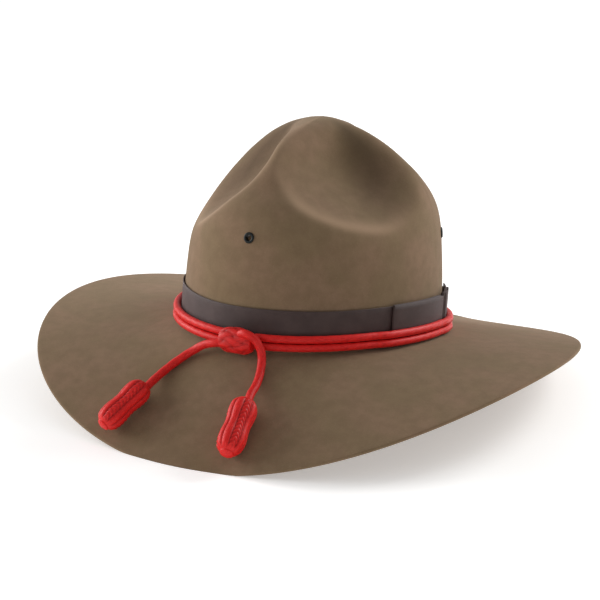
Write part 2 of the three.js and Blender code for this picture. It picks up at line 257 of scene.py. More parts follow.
# A place beside the crown: the head's oval moved outwards, lifted along the leaning wall, on the saddle.
def beside(t, out, up):
    nx, ny = np.sin(t) / head["wide"], -np.cos(t) / head["long"]
    n = np.hypot(nx, ny)
    x = head["wide"] * np.sin(t) + out * nx / n
    y = -head["long"] * np.cos(t) + out * ny / n
    around = np.arctan2(x / head["wide"], -y / head["long"])
    z = head["base"] + up - head["lean"] * y - head["saddle"] * np.cos(2 * around)
    return np.stack(np.broadcast_arrays(x, y + up * head["lean"], z), -1)


# A smooth curve through evenly spaced rows, read at places from 0 to 1: between two rows it's the cubic whose
# slope at each is half the step between that row's neighbours.
def spline(rows, place):
    p = np.array(rows, float)
    p = np.concatenate([[2 * p[0] - p[1]], p, [2 * p[-1] - p[-2]]])
    s = np.clip(place, 0, 1) * (len(p) - 3)
    i = np.minimum(s.astype(int), len(p) - 4)
    w = s - i
    a, b, c, d = p[i], p[i + 1], p[i + 2], p[i + 3]
    return b + w * ((c - a) / 2 + w * (a - 2.5 * b + 2 * c - d / 2 + w * (1.5 * (b - c) + (d - a) / 2)))


# A dent's hollow face, as a share of the crown's reach: it runs from ridge to ridge, with a soft edge, and
# comes out of the crown at the lower border, above 1.
def dentFace(t, around, up, dent):
    start, end, soft = (np.radians(a) for a in (dent["from"], dent["to"], crown["ridgeRound"]))
    half = (end - start) / 2
    off = np.minimum(np.hypot(around - start, soft), np.hypot(around - end, soft))
    crest = np.cos(half - soft)
    section = (crest / np.cos(half - np.minimum(off, half))) ** dent["hollow"]
    fall = dent["fall"] * (np.cos(around) - crown["level"]) * (1 + np.sin(t)) / 2
    low = dent["low"] + dent["slant"] * np.sin(t) + fall
    below = (dent["split"] - up) / (dent["split"] - low)
    below = (below + np.hypot(below, crown["splitSoft"])) / 2
    return section * (1 + (crest ** -dent["hollow"] - 1) * below ** crown["borderBend"])


# The face of the dent at each place, the front ones as far as the side ridges and then the back ones.
def dentFaces(t, up):
    around = np.arccos(np.cos(t))
    fore, aft = (dentFace(t, around, up, dent) for dent in crown["dents"])
    return np.where(around <= np.radians(sideRidge), fore, aft)


# How far the dents draw the crown in: to the lesser of the crown and the face, and less at the round peak.
def dentDepth(t, up):
    face = dentFaces(t, up)
    kept = (1 + face - np.hypot(1 - face, crown["borderSoft"])) / 2
    return (1 - kept) * (1 - up ** crown["topRound"])


# The crown's outside: the oval times the ridges' reach, which goes from front to side with the angle, less
# the dents, with its peak drawn forwards and the whole leaning back.
def crownPoint(t, place):
    up, front, side = (spline(crown[k], place) for k in ("up", "front", "side"))
    up = np.clip(up, 0, 1)
    around = np.arccos(np.cos(t))
    turn = np.radians(sideRidge - 90) / np.sin(np.radians(sideRidge))
    quarter = around - turn * np.sin(around)
    reach = front * np.cos(quarter) ** 2 + side * np.sin(quarter) ** 2
    reach = reach * (1 - dentDepth(t, up))
    x = head["wide"] * np.sin(t) * reach + crown["peakSide"] * up ** crown["peakDraw"]
    y = -head["long"] * np.cos(t) * reach - crown["peakForward"] * up ** crown["peakDraw"]
    turned = np.arctan2(x / head["wide"], -y / head["long"])
    saddle = head["saddle"] * (1 - up) * np.cos(2 * turned)
    z = head["base"] + up * crown["height"] - head["lean"] * y - saddle
    return np.stack(np.broadcast_arrays(x, y + up * crown["height"] * head["lean"], z), -1)


# The brim: straight lines along the felt from the crown's foot to an edge of nearly even width, which
# droops to the floor at the front and back and lifts at the sides.
def brimPoint(t, share):
    rise = (brim["side"] * (1 - np.cos(2 * t)) / 2 + brim["fore"] * (np.cos(t) - np.cos(3 * t)) / 2
            + brim["quarter"] * (1 - np.cos(4 * t)) / 2 - brim["rest"])
    height = (rise + np.sqrt(rise ** 2 + brim["blend"])) / 2
    foot = beside(t, 0, 0)
    wide = brim["mean"] + brim["foreAft"] * np.cos(t) + brim["oval"] * np.cos(2 * t)
    edge = beside(t, np.sqrt(wide ** 2 - (foot[..., 2] - height) ** 2), 0)
    edge[..., 2] = height
    return foot + (edge - foot) * np.asarray(share)[..., None]


# The painted light's shares: a painted highlight where the face meets the crown, and painted shade by a
# dent's depth on its far flank.
def paintedFeltLightShares(t, place):
    up = np.clip(spline(crown["up"], place), 0, 1)
    degrees = np.degrees(np.arccos(np.cos(t)))
    paintedFoldHighlight = np.exp(-((1 - dentFaces(t, up)) / paintedFeltLight["fold"]) ** 2) * smooth(up, *paintedFeltLight["foldsAbove"])
    growing = paintedFeltLight["foldFaint"] + (1 - paintedFeltLight["foldFaint"]) * smooth(degrees, *paintedFeltLight["foldStarts"])
    paintedFoldHighlight = paintedFoldHighlight * growing * (1 - smooth(degrees, *paintedFeltLight["foldEnds"]))
    # Painted shade: darker by the dent's depth, on the flank towards the side ridge.
    paintedFlankShade = np.minimum(dentDepth(t, up) / paintedFeltLight["deep"], 1) * smooth(degrees, *paintedFeltLight["flank"])
    return paintedFoldHighlight, paintedFlankShade


# The outward normals of a grid: its steps down and along, multiplied crosswise.
def surfaceNormals(grid):
    down = np.gradient(grid, axis=0)
    along = np.roll(grid, -1, 1) - np.roll(grid, 1, 1)
    return unit(np.cross(down, along))


# The felt: its outside from the peak to the brim's edge, a half round over the edge, and the inside a wall's
# thickness behind it, in coarser rows.
def makeFeltBody():
    t = np.linspace(0, 2 * np.pi, felt["around"], endpoint=False)[None]
    places = np.linspace(0, 1, felt["crownRows"], endpoint=False)[::-1, None]
    outside = crownPoint(t, places * np.ones_like(t))
    share = (np.arange(1, felt["brimRows"] + 1) / felt["brimRows"])[:, None]
    flat = brimPoint(t * np.ones_like(share), share * np.ones_like(t))
    grid = np.concatenate([outside, flat])
    out = surfaceNormals(grid)
    inner = grid - out * felt["thick"]
    centre = (grid[-1] + inner[-1]) / 2
    away = unit(grid[-1] - grid[-2])
    edge = [centre + out[-1] * felt["thick"] / 2 * np.cos(a) + away * felt["thick"] / 2 * np.sin(a)
            for a in np.linspace(0, np.pi, felt["edgeRows"] + 2)[1:-1]]
    grid = np.concatenate([grid, np.array(edge), inner[::-felt["insideStep"]]])
    grid[..., 2] = np.maximum(grid[..., 2], 0)
    peak = crownPoint(np.zeros(1), np.ones(1))[0]
    piece = skin("felt", grid[:, ::-1], feltMaterial, (peak, peak - [0, 0, felt["thick"]]))
    # The painted highlight and painted shade are kept on the felt as shares for its material.
    for (name, *_), share in zip(paintedFeltLight["marks"], paintedFeltLightShares(t, places)):
        mark(piece, name, share[:, ::-1])
    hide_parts("felt_body")
    return piece


feltPiece = makeFeltBody()

# Eyelets: each one's angle and height on the crown; its flange, hole and barrel as radii; how high the flange
# is rolled and with what roundness; its profile inside the felt, down the hole, turned over and up the
# barrel; and the drill that makes room for the barrel.
eyelets = {
    "rows": [("eyelet_front", 1.5, 0.497), ("eyelet_left", 117, 0.475), ("eyelet_right", -117, 0.475)],
    "flange": 3.8, "hole": 1.9, "barrel": 2.5, "seat": 0.1, "rise": 0.95, "roll": 0.8, "rollSteps": 11,
    "radius": [1.9, 1.9, 2.1, 3.1, 3.4, 2.5, 2.5, 3.6],
    "along": [-0.6, -2.7, -3.1, -3, -2.7, -2.55, -0.1, 0],
    "sides": 48, "besideAngle": 0.02, "besidePlace": 0.01,
    "drill": {"clear": 0.15, "out": 3, "in": 7, "sides": 24},
}


# The crown's surface at an angle and height: the point, and from its neighbours two directions along the
# felt and the one out of it.
def eyeletFrame(angle, up):
    places = np.linspace(0, 1, fineSteps)
    place = np.interp(up, spline(crown["up"], places), places)
    aside, higher = eyelets["besideAngle"], eyelets["besidePlace"]
    turns = np.radians(angle) + np.array([0, aside, -aside, 0, 0])
    point, left, right, above, below = crownPoint(turns, place + np.array([0, 0, 0, higher, -higher]))
    along, out = unit(left - right), unit(np.cross(left - right, above - below))
    return point, along, np.cross(out, along), out


# The directions from an eyelet's axis to the sides of a circle round it.
def circle(a, b, sides):
    turn = np.linspace(0, 2 * np.pi, sides, endpoint=False)[:, None]
    return a * np.cos(turn) + b * np.sin(turn)


# The felt less one closed cylinder for each eyelet.
def cutEyeletHoles():
    drill = eyelets["drill"]
    n = drill["sides"]
    points, faces = [], []
    for _, angle, up in eyelets["rows"]:
        point, a, b, out = eyeletFrame(angle, up)
        ring = point + circle(a, b, n) * (eyelets["barrel"] + drill["clear"])
        base = len(points)
        points += metres(np.concatenate([ring + out * drill["out"], ring - out * drill["in"]])).tolist()
        faces += [[base + j, base + n + j, base + n + (j + 1) % n, base + (j + 1) % n] for j in range(n)]
        faces += [[base + j for j in range(n)], [base + n + j for j in reversed(range(n))]]
    mesh = bpy.data.meshes.new("drill")
    mesh.from_pydata(points, [], faces)
    tool = bpy.data.objects.new("drill", mesh)
    bpy.context.collection.objects.link(tool)
    cut = feltPiece.modifiers.new("holes", "BOOLEAN")
    cut.operation = "DIFFERENCE"
    cut.solver = "EXACT"
    cut.object = tool
    bpy.context.view_layer.objects.active = feltPiece
    feltPiece.select_set(True)
    bpy.ops.object.modifier_apply(modifier="holes")
    bpy.data.objects.remove(tool)


cutEyeletHoles()
print("felt made", len(feltPiece.data.polygons))


# Enamelled brass: black and half glossy, a little worn to grey in small spots.
def makeEnamel():
    material, tree, shader = newMaterial("black_enamelled_brass")
    place = node(tree, "TexCoord", output="Object")
    worn = node(tree, "TexNoise", {"Vector": place, "Scale": 1 / (0.8 * mm), "Detail": 3, "Roughness": 0.6})
    rough = node(tree, "MapRange", {"Value": worn, "From Min": 0.3, "From Max": 0.7, "To Min": 0.32,
                                    "To Max": 0.5}, interpolation_type="SMOOTHSTEP")
    tone = layered(tree, linear("#0b1110"), [(worn, 0.55, 0.75, 0.6, "#2a302f")])
    setInputs(tree, shader, {"Base Color": tone, "Roughness": rough, "Metallic": 0.4})
    return material


enamel = makeEnamel()


# An eyelet: a rolled flange on the felt, and a barrel that goes through it and is turned over inside, all one
# profile carried round the axis.
def makeEyelets():
    e = eyelets
    lip, half = (e["flange"] + e["hole"]) / 2, (e["flange"] - e["hole"]) / 2
    turn = np.linspace(0, np.pi, e["rollSteps"])
    profile = [(lip + half * np.cos(a), e["seat"] + e["rise"] * np.sin(a) ** e["roll"]) for a in turn]
    profile += zip(e["radius"], e["along"])
    for name, angle, up in e["rows"]:
        point, a, b, out = eyeletFrame(angle, up)
        ring = circle(a, b, e["sides"])
        grid = np.array([point + ring * radius + out * along for radius, along in profile])
        piece = skin(name + "_rolled", grid, enamel)
        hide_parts(name)


makeEyelets()
print("eyelets made")

# Grosgrain's own spacings: from rib to rib along the ribbon, and from thread to thread across it. The ribs
# are drawn a little coarser than real ones, so that they show.
weave = {"rib": 0.62, "thread": 0.34}


# Grosgrain ribbon: dark brown silk-like weft over stout crosswise ribs, smooth along each rib, with a soft
# sheen that turns a little mauve. Ribs and threads are sine waves along the map.
def makeGrosgrain():
    material, tree, shader = newMaterial("grosgrain_ribbon")
    u = node(tree, "SeparateXYZ", {0: node(tree, "UVMap", uv_map="chart")})
    waves = []
    for along, spacing in ((u, weave["rib"]), (u.node.outputs["Y"], weave["thread"])):
        turn = node(tree, "Math", {0: along, 1: 2 * np.pi / spacing}, operation="MULTIPLY")
        sine = node(tree, "Math", {0: turn}, operation="SINE")
        waves.append(node(tree, "Math", {0: sine, 1: 0.5, 2: 0.5}, operation="MULTIPLY_ADD"))
    rib, thread = waves
    place = node(tree, "TexCoord", output="Object")
    cloud = node(tree, "TexNoise", {"Vector": place, "Scale": 1 / (14 * mm), "Detail": 3, "Roughness": 0.55})
    tone = layered(tree, linear("#342522"), [(cloud, 0.3, 0.7, 1, "#42322f")])
    # Painted highlight: the colour is paler and a little mauve on the crests of the ribs, where the bump
    # rises.
    share = node(tree, "Math", {0: rib, 1: 0.35}, operation="MULTIPLY")
    tone = node(tree, "Mix", {0: share, 6: tone, 7: linear("#54413e")}, output=2, data_type="RGBA")
    parts = [node(tree, "Math", {0: height, 1: share}, operation="MULTIPLY")
             for height, share in ((rib, 0.85), (thread, 0.15))]
    height = node(tree, "Math", {0: parts[0], 1: parts[1]}, operation="ADD")
    setInputs(tree, shader, {
        "Base Color": tone, "Roughness": 0.58, "Specular IOR Level": 0.35, "Sheen Weight": 0.35,
        "Sheen Roughness": 0.35, "Sheen Tint": linear("#b9a2a4"),
        "Normal": node(tree, "Bump", {"Height": height, "Strength": 0.5, "Distance": 0.14 * mm}),
    })
    return material


grosgrain = makeGrosgrain()

# The ribbon: how far off the felt it lies, its thickness, lower and upper edge, the points round its section,
# and how its upper part wanders: waves of a size, a number round the crown and a start.
ribbon = {"lift": 0.25, "thick": 0.75, "foot": 1.2, "high": 27.5, "around": 360, "rows": 9, "edgeSteps": 5,
          "wander": [(0.25, 3, 0.4), (0.15, 7, 0)], "wandersAbove": 14}


# The ribbon's section: down its inside and up its outside, with half round edges, as (out, up) pairs.
def ribbonSection():
    r = ribbon
    half = r["thick"] / 2
    turn = np.linspace(0, np.pi, r["edgeSteps"])[1:-1]
    ups = np.linspace(r["foot"] + half, r["high"] - half, r["rows"])
    outer = [(r["lift"] + r["thick"], up) for up in ups]
    over = [(r["lift"] + half + half * np.cos(a), ups[-1] + half * np.sin(a)) for a in turn]
    inner = [(r["lift"], up) for up in ups[::-1]]
    under = [(r["lift"] + half - half * np.cos(a), ups[0] - half * np.sin(a)) for a in turn]
    return np.array(outer + over + inner + under)[::-1]


# The section carried round the head's oval. The map's length is the girth of a circle whose radius is the
# root mean square of the oval's two.
def makeRibbon():
    section = ribbonSection()
    t = np.linspace(0, 2 * np.pi, ribbon["around"], endpoint=False)[:, None]
    wander = sum(size * np.sin(count * t + start) for size, count, start in ribbon["wander"])
    out, up = section[None, :, 0], section[None, :, 1]
    grid = beside(t, out, up + wander * (up > ribbon["wandersAbove"]))
    girth = 2 * np.pi * np.hypot(head["wide"], head["long"]) / np.sqrt(2)
    u = np.linspace(0, girth, ribbon["around"] + 1)[:, None] * np.ones(len(section) + 1)
    v = np.ones(ribbon["around"] + 1)[:, None] * np.append(section[:, 1], section[0, 1])
    piece = skin("ribbon_band", grid, grosgrain, chart=np.stack([u, v], -1))
    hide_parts("ribbon")


makeRibbon()

# The bow lies flat on the ribbon at the wearer's left: a folded loop to the front, a gathered keeper round
# its middle, and a second loop with a slanting end behind it. Each is one ribbon followed along its plan.
# Near and far are the two layers of a loop. A loop narrows by "gather" over the last degrees to the keeper.
bow = {
    "degreesPerMm": 0.554, "layer": 0.62, "foot": 1.2, "gather": 1.6, "gatherOver": 7, "foldSteps": 9,
    "rows": 9,
    "loop": {"from": 67.5, "to": 105.6, "near": 1.45, "far": 2.75, "high": 28.3, "footRise": 1.2, "puff": 0.5,
             "puffRound": 0.7, "steps": 26},
    "keeper": {"from": 105, "to": 110.2, "base": 1.1, "swell": 2.9, "swellRound": 0.45, "pleats": 4,
               "pleatDeep": 0.28, "pleatRound": 0.8, "high": 29.9, "waist": 1.2, "thick": 0.8, "steps": 61,
               "rows": 13},
    "tail": {"from": 109.6, "loopTo": 124, "to": 131, "near": 1.45, "far": 2.6, "high": 28.6, "steps": 16,
             "apart": 0.5, "under": 1.16, "lift": 0.27, "endHigh": 27.6, "flare": 2.2, "flareBend": 0.7,
             "endSteps": 26},
}


# The length along a path, from 0 at its first point.
def lengthsAlong(path):
    return np.concatenate([[0], np.cumsum(np.linalg.norm(np.diff(path, axis=0), axis=1))])


# A ribbon set on edge: its middle line goes along (angle in degrees, out) places, it has half its thickness
# to both sides, and its lower and upper edge have a height at each place.
def foldedRibbon(name, places, high, foot, thick, replaced, rows):
    line = places / [bow["degreesPerMm"], 1]
    run = np.gradient(line, axis=0)
    side = unit(np.stack([run[:, 1], -run[:, 0]], -1)) * thick / 2
    ups = foot[:, None] + (high - foot)[:, None] * np.linspace(0, 1, rows)
    walls = [beside(np.radians(wall[:, :1] * bow["degreesPerMm"]), wall[:, 1:], heights)
             for wall, heights in ((line + side, ups), (line - side, ups[:, ::-1]))]
    grid = np.concatenate(walls, axis=1)
    v = np.concatenate([ups, ups[:, ::-1], ups[:, :1]], axis=1)
    u = lengthsAlong(line)[:, None] * np.ones(v.shape[1])
    ends = (grid[0].mean(0), grid[-1].mean(0))
    piece = skin(name, grid, grosgrain, ends, np.stack([u, v], -1))
    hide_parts(replaced)


# A loop's plan: out along the far layer to the fold, half a circle round it, and back along the near layer.
def loopPlaces(start, end, near, far, steps):
    radius = (far - near) / 2
    step = radius * bow["degreesPerMm"] * np.sign(end - start)
    toFold = np.linspace(end, start + step, steps)
    turn = np.linspace(np.pi / 2, -np.pi / 2, bow["foldSteps"])[1:-1]
    fold = [(start + step * (1 - np.cos(a)), near + radius + radius * np.sin(a)) for a in turn]
    return np.array([(a, far) for a in toFold] + fold + [(a, near) for a in toFold[::-1]])


# The front loop: puffed out in the middle of its far layer, and gathered towards the keeper.
def makeFrontLoop():
    b = bow["loop"]
    places = loopPlaces(b["from"], b["to"], b["near"], b["far"], b["steps"])
    angle = places[:, 0]
    pinch = smooth(angle, b["to"] - bow["gatherOver"], b["to"])
    share = np.clip((angle - b["from"]) / (b["to"] - b["from"]), 0, 1)
    puff = b["puff"] * np.sin(np.pi * share) ** b["puffRound"]
    places[:, 1] += np.where(places[:, 1] > (b["near"] + b["far"]) / 2, puff, 0)
    foldedRibbon("bow_front_loop", places, b["high"] - bow["gather"] * pinch,
                 bow["foot"] + b["footRise"] * pinch, bow["layer"], "bow_loop", bow["rows"])


# The keeper: one swell over the loops' gathered ends, with pleats down it.
def makeKeeper():
    b = bow["keeper"]
    share = np.linspace(0, 1, b["steps"])
    angle = b["from"] + (b["to"] - b["from"]) * share
    swell = np.sin(np.pi * share) ** b["swellRound"]
    pleat = np.abs(np.sin(np.pi * share * b["pleats"])) ** b["pleatRound"]
    out = b["base"] + b["swell"] * swell * (1 - b["pleatDeep"] + b["pleatDeep"] * pleat)
    foldedRibbon("bow_gathered_keeper", np.stack([angle, out], -1), b["high"] - b["waist"] * (1 - swell),
                 np.full(b["steps"], bow["foot"]), b["thick"], "bow_keeper", b["rows"])


# The back loop, gathered like the front one, and the end that comes out slanting from under it.
def makeBackLoop():
    b = bow["tail"]
    places = loopPlaces(b["loopTo"], b["from"], b["near"], b["far"], b["steps"]) + [0, b["apart"]]
    pinch = smooth(-places[:, 0], -b["from"] - bow["gatherOver"], -b["from"])
    foldedRibbon("bow_back_loop", places, b["high"] - bow["gather"] * pinch,
                 np.full(len(places), bow["foot"]), bow["layer"], "bow_tail", bow["rows"])
    share = np.linspace(0, 1, b["endSteps"])
    angle = b["from"] + (b["to"] - b["from"]) * share
    out = b["under"] + b["lift"] * smooth(share, 0, 1)
    high = b["endHigh"] + b["flare"] * share ** b["flareBend"]
    foldedRibbon("bow_slant_tail", np.stack([angle, out], -1), high,
                 np.full(b["endSteps"], bow["foot"]), bow["layer"], "bow_tail", bow["rows"])


makeFrontLoop()
makeKeeper()
makeBackLoop()
print("ribbon and bow made")

# The cord and everything made of it. Its braid has so many strands each way that cross once in a pitch. The
# turns stand off the crown by "rest", and by the bow's thickness too where they pass over it: "over" has its
# pieces' angles and thicknesses, and the rise begins and ends so many degrees away. They stop "clear" of the
# slide's middle. An end goes "into" its acorn's neck.
cord = {
    "diameter": 5.3, "tail": 5.7, "sides": 24, "step": 0.55, "strands": 4, "pitch": 9.5, "relief": 0.12,
    "cross": 0.2, "paintedShade": 0.15, "turns": [("cord_lower", 3.7), ("cord_upper", 9.3)], "turnSteps": 1500,
    "rest": 3.95, "wave": 0.12, "waves": 5, "slideAt": 2, "clear": 10.3, "into": 1.5, "tailSteps": 500,
    "over": [(67.5, 104.4, 1.2), (105, 110.2, 2.2), (110.8, 131, 1.2)],
    "riseFrom": 9, "riseTo": 2, "gap": 0.3, "gapRise": 4,
}
fibre = {"long": 1 / 0.35, "thick": 1 / 3.2}


# Rayon cord: bright scarlet filament yarn braided tightly, smooth to the touch, with a silky light along it.
# The filaments are noise drawn out along the cord, thicker than real ones, so that they show. Painted shade
# darkens the grooves between the strands.
def makeRayon():
    material, tree, shader = newMaterial("braided_red_rayon")
    u = node(tree, "SeparateXYZ", {0: node(tree, "UVMap", uv_map="chart")})
    along, across = (node(tree, "Math", {0: way, 1: 1 / size}, operation="MULTIPLY")
                     for way, size in ((u, fibre["long"]), (u.node.outputs["Y"], fibre["thick"])))
    stretched = node(tree, "CombineXYZ", {0: along, 1: across})
    thread = node(tree, "TexNoise", {"Vector": stretched, "Scale": 1, "Detail": 3, "Roughness": 0.6})
    place = node(tree, "TexCoord", output="Object")
    cloud = node(tree, "TexNoise", {"Vector": place, "Scale": 1 / (6 * mm), "Detail": 2, "Roughness": 0.5})
    tone = layered(tree, linear("#c4100f"), [
        (thread, 0.35, 0.65, 1, "#f02a26"), (cloud, 0.35, 0.7, 0.3, "#d01613"),
    ])
    # Painted shade: the colour goes towards a dark red by each piece's groove share.
    groove = node(tree, "Attribute", output="Fac", attribute_name="groove")
    setInputs(tree, shader, {
        "Base Color": node(tree, "Mix", {0: groove, 6: tone, 7: linear("#4a0203")}, output=2,
                           data_type="RGBA"),
        "Roughness": 0.45, "Specular IOR Level": 0.25, "Sheen Weight": 0.04, "Sheen Roughness": 0.4,
        "Sheen Tint": linear("#ff8a84"),
        "Normal": node(tree, "Bump", {"Height": thread, "Strength": 0.45, "Distance": 0.2 * mm}),
    })
    return material


rayon = makeRayon()


# Two directions across a path at each point, carried along it without turning about it more than they must.
def carried(path):
    tangents = unit(np.gradient(path, axis=0))
    side = unit(np.cross(tangents[0], [0, 0, 1.0]))
    sides = []
    for tangent in tangents:
        side = unit(side - tangent * (side @ tangent))
        sides.append(side)
    return np.array(sides), np.cross(tangents, sides)


# The height of a braid's surface, up to 1: two sets of strands wind opposite ways, each strand is an arch,
# and where they cross the higher one shows.
def braidRelief(u, v):
    a = cord["strands"] * v / 2 + 2 * np.pi * u / cord["pitch"]
    b = cord["strands"] * v / 2 - 2 * np.pi * u / cord["pitch"]
    over = cord["cross"] * np.cos(a / 2) * np.cos(b / 2)
    flat = 1 - cord["cross"]
    return np.maximum(np.abs(np.cos(a / 2)) * (flat + over), np.abs(np.cos(b / 2)) * (flat - over))


# A path in even steps, and the length at each.
def resample(path, step):
    length = lengthsAlong(path)
    at = np.linspace(0, length[-1], int(length[-1] / step) + 1)
    return np.stack([np.interp(at, length, path[:, k]) for k in range(3)], -1), at


# A cord: rings across its path, with the relief of the braid on their radius.
def makeCord(name, path, diameter):
    path, at = resample(path, cord["step"])
    side, other = carried(path)
    v = np.linspace(0, 2 * np.pi, cord["sides"], endpoint=False)
    relief = braidRelief(at[:, None], v[None]) - 1
    radius = diameter / 2 + cord["relief"] * relief
    grid = (path[:, None] + side[:, None] * (radius * np.cos(v))[..., None]
            + other[:, None] * (radius * np.sin(v))[..., None])
    u = at[:, None] * np.ones(cord["sides"] + 1)
    w = np.ones(len(at))[:, None] * np.linspace(0, np.pi * diameter, cord["sides"] + 1)
    piece = skin(name + "_braid", grid, rayon, (path[0], path[-1]), np.stack([u, w], -1))
    # Painted shade in the braid's hollows, by how far each point lies below the strands.
    mark(piece, "groove", np.clip(-relief, 0, 1) * cord["paintedShade"])
    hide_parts(name)
    return piece, path, at[-1]


# How far the turns stand off the crown where they pass over the bow.
def overBow(degrees):
    most = np.zeros_like(degrees)
    for start, end, thick in cord["over"]:
        rise = smooth(degrees, start - cord["riseFrom"], start - cord["riseTo"])
        fall = smooth(degrees, end + cord["riseTo"], end + cord["riseFrom"])
        inside = rise * (1 - fall)
        most = np.maximum(most, thick * inside + cord["gap"] * np.minimum(inside * cord["gapRise"], 1))
    return most


def makeTurns():
    clear = np.degrees(np.arcsin(cord["clear"] / head["wide"]))
    degrees = np.linspace(cord["slideAt"] + clear, cord["slideAt"] + 360 - clear, cord["turnSteps"])
    t = np.radians(degrees)
    for name, up in cord["turns"]:
        wave = cord["wave"] * np.sin(t * cord["waves"] + up)
        makeCord(name, beside(t, cord["rest"] + overBow(degrees), up + wave), cord["diameter"])


makeTurns()

# The slide: a barrel woven of seven strands each way over the cord, thick in the middle and drawn in at its
# ends. Swell has the two powers of its outline, and "strandHalf" is half a strand's width as a share of the
# space between strands.
slide = {
    "up": 6.1, "out": 8.2, "half": 12, "high": 9.1, "deep": 6.8, "endHigh": 5.6, "endDeep": 4.6,
    "swell": (2.3, 0.55), "strands": 7, "pitch": 15, "relief": 0.9, "strandHalf": 0.46, "cross": 0.28,
    "fade": 2.2, "shade": 1.4, "paintedShade": 0.5, "rows": 120, "sides": 150,
}


# The barrel's rings lie across it, each an ellipse, less the hollows between strands, which are arches in
# section.
def makeSlide():
    s = slide
    at = np.radians(cord["slideAt"])
    centre = beside(at, s["out"], s["up"])
    side = np.array([np.cos(at), np.sin(at), 0])
    front = unit(np.array([np.sin(at), -np.cos(at), head["lean"]]))
    top = unit(np.array([0, head["lean"], 1]))
    along = np.linspace(-1, 1, s["rows"])[:, None]
    swell = (1 - np.abs(along) ** s["swell"][0]) ** s["swell"][1]
    turn = np.linspace(0, 2 * np.pi, s["sides"], endpoint=False)
    u = along * s["half"]
    a = s["strands"] * turn + 2 * np.pi * u / s["pitch"]
    b = s["strands"] * turn - 2 * np.pi * u / s["pitch"]
    over = s["cross"] * np.cos(a / 2) * np.cos(b / 2)
    offA, offB = (np.abs((way / (2 * np.pi) + 0.5) % 1 - 0.5) / s["strandHalf"] for way in (a, b))
    archA, archB = (np.sqrt(np.clip(1 - off ** 2, 0, 1)) for off in (offA, offB))
    relief = np.maximum(archA * (1 - s["cross"] + over), archB * (1 - s["cross"] - over))
    fade = np.clip(swell * s["fade"], 0, 1)
    drop = s["relief"] * (relief - 1) * fade
    high = s["endHigh"] + (s["high"] - s["endHigh"]) * swell + drop
    deep = s["endDeep"] + (s["deep"] - s["endDeep"]) * swell + drop
    grid = (centre + side * u[..., None] + front * (deep * np.cos(turn))[..., None]
            + top * (high * np.sin(turn))[..., None])
    w = np.linspace(0, 2 * np.pi * s["high"], s["sides"] + 1)[None] * np.ones(s["rows"])[:, None]
    chart = np.stack([u * np.ones(s["sides"] + 1), w], -1)
    ends = (grid[0].mean(0), grid[-1].mean(0))
    piece = skin("cord_slide_woven", grid[:, ::-1], rayon, ends, chart)
    # Painted shade between the woven strands, fading towards the slide's ends.
    groove = np.clip((1 - relief) * s["shade"], 0, 1) * s["paintedShade"] * fade
    mark(piece, "groove", groove[:, ::-1])
    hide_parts("cord_slide")


makeSlide()

# The cord's two ends: each comes out over the slide's end, drops to the brim and lies on it as far as its
# acorn, which goes from its neck towards a point, with a length and a fullness.
tails = [
    {"name": "cord_tail_right", "exit": [-10.6, -110, 63.5], "route": [
        [-4.5, -110.6, 62.6], [-8.6, -111.6, 61.6], [-13.2, -112.3, 60.6], [-18.7, -111.8, 59],
        [-23.9, -111.6, 56.5], [-28.1, -112.2, 53.6], [-31.7, -113.6, 51.2], [-34.6, -116.1, 48.9],
        [-37.5, -119.4, 46.4], [-40.4, -123.5, 43.6], [-42.7, -128, 40.9], [-44.3, -132.8, 38.6],
        [-45.1, -138, 36.8]],
     "acorn": "acorn_right", "enters": [0.2, 0.6, -2.1], "from": [-45.4, -147.5, 36.6],
     "to": [-58.7, -179.6, 16.1], "long": 42, "full": 0.95},
    {"name": "cord_tail_left", "exit": [12, -113, 71], "route": [
        [5.5, -111.2, 68.9], [9, -113, 71], [12.6, -113.9, 71.6], [16.1, -113.6, 70.4], [19, -112.4, 67.8],
        [20.8, -111.6, 64.6], [22.1, -111.2, 61.2], [23, -111.4, 57.4], [23.9, -112.9, 53.6],
        [25.1, -116.2, 50.1], [26.6, -120.7, 46.9], [27.9, -126, 43.9], [29.1, -132.1, 41.7],
        [30.1, -138.2, 40.1]],
     "acorn": "acorn_left", "enters": [0.8, 0, -1.1], "from": [31.5, -145.6, 38.5],
     "to": [37.3, -183.4, 13], "long": 45, "full": 1.02},
]

# An acorn: a wrapped head with a waist, its length covered by thick ribs of which every third one is a
# chevron braid, and a small button where they are gathered.
acorn = {
    "sides": 180, "rows": 170, "ribs": 9, "ribHalf": 1.03, "groove": 1.5, "ribsStart": (0, 0.12),
    "ribsEnd": (0.88, 0.935), "braid": 0.3, "braidFrom": 65, "pitch": 3.2, "chevronSlant": 0.9, "paintedShade": 0.85,
    "braidRound": 0.5, "grooveSharp": 1.5, "mapRadius": 8.5,
    "along": [0, 0.02, 0.05, 0.12, 0.22, 0.32, 0.43, 0.54, 0.66, 0.78, 0.88, 0.935, 0.95, 0.975, 1],
    "radius": [2.8, 4.8, 6.8, 8.8, 9.4, 9.2, 8.6, 8.7, 9.3, 9.2, 8.0, 5.6, 4.7, 4.3, 1.6],
}


